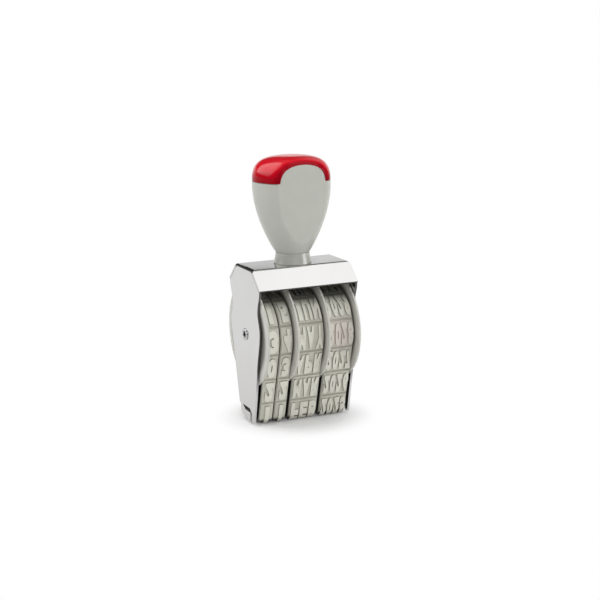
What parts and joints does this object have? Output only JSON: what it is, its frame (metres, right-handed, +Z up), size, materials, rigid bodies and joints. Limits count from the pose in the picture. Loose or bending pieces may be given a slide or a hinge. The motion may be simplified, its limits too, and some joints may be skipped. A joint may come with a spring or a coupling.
{
  "type": "date stamp",
  "caption": "Hand date stamp: finger wheels on one axle carry endless type bands round a platen in a plated sheet frame, under a pear-shaped grip with a cap.",
  "frame": {"origin": "centre of the printing face, under the middle of the frame", "axes": "+Z up from the printing face to the grip, +X along the axle to the right, the front is -Y"},
  "size_m": [0.03, 0.0294, 0.0739],
  "materials": {
    "plated_sheet": "polished",
    "steel": "satin",
    "wheel_plastic": "satin",
    "band_rubber": "matt",
    "platen_metal": "satin",
    "grip_plastic": "semi-gloss",
    "cap_plastic": "glossy",
    "insert_brass": "satin"
  },
  "bodies": {
    "frame": {"frame": "plated_sheet", "axle": "steel", "left_spacer": "steel", "right_spacer": "steel", "day_tens_band": "band_rubber", "day_units_band": "band_rubber", "month_band": "band_rubber", "year_band": "band_rubber", "platen": "platen_metal", "handle_collar": "grip_plastic", "handle_grip": "grip_plastic", "handle_cap": "cap_plastic", "handle_insert": "insert_brass", "handle_screw": "steel", "screw_washer": "steel"},
    "day_tens_wheel": {"day_tens_wheel": "wheel_plastic"},
    "day_units_wheel": {"day_units_wheel": "wheel_plastic"},
    "month_wheel": {"month_wheel": "wheel_plastic"},
    "year_wheel": {"year_wheel": "wheel_plastic"}
  },
  "joints": [
    {"name": "day_tens_turn", "type": "hinge", "parent": "frame", "child": "day_tens_wheel", "pos_m": [-0.0114, 0, 0.0252], "axis": [1, 0, 0], "continuous": true},
    {"name": "day_units_turn", "type": "hinge", "parent": "frame", "child": "day_units_wheel", "pos_m": [-0.0067, 0, 0.0252], "axis": [1, 0, 0], "continuous": true},
    {"name": "month_turn", "type": "hinge", "parent": "frame", "child": "month_wheel", "pos_m": [0.0002, 0, 0.0252], "axis": [1, 0, 0], "continuous": true},
    {"name": "year_turn", "type": "hinge", "parent": "frame", "child": "year_wheel", "pos_m": [0.0094, 0, 0.0252], "axis": [1, 0, 0], "continuous": true}
  ]
}
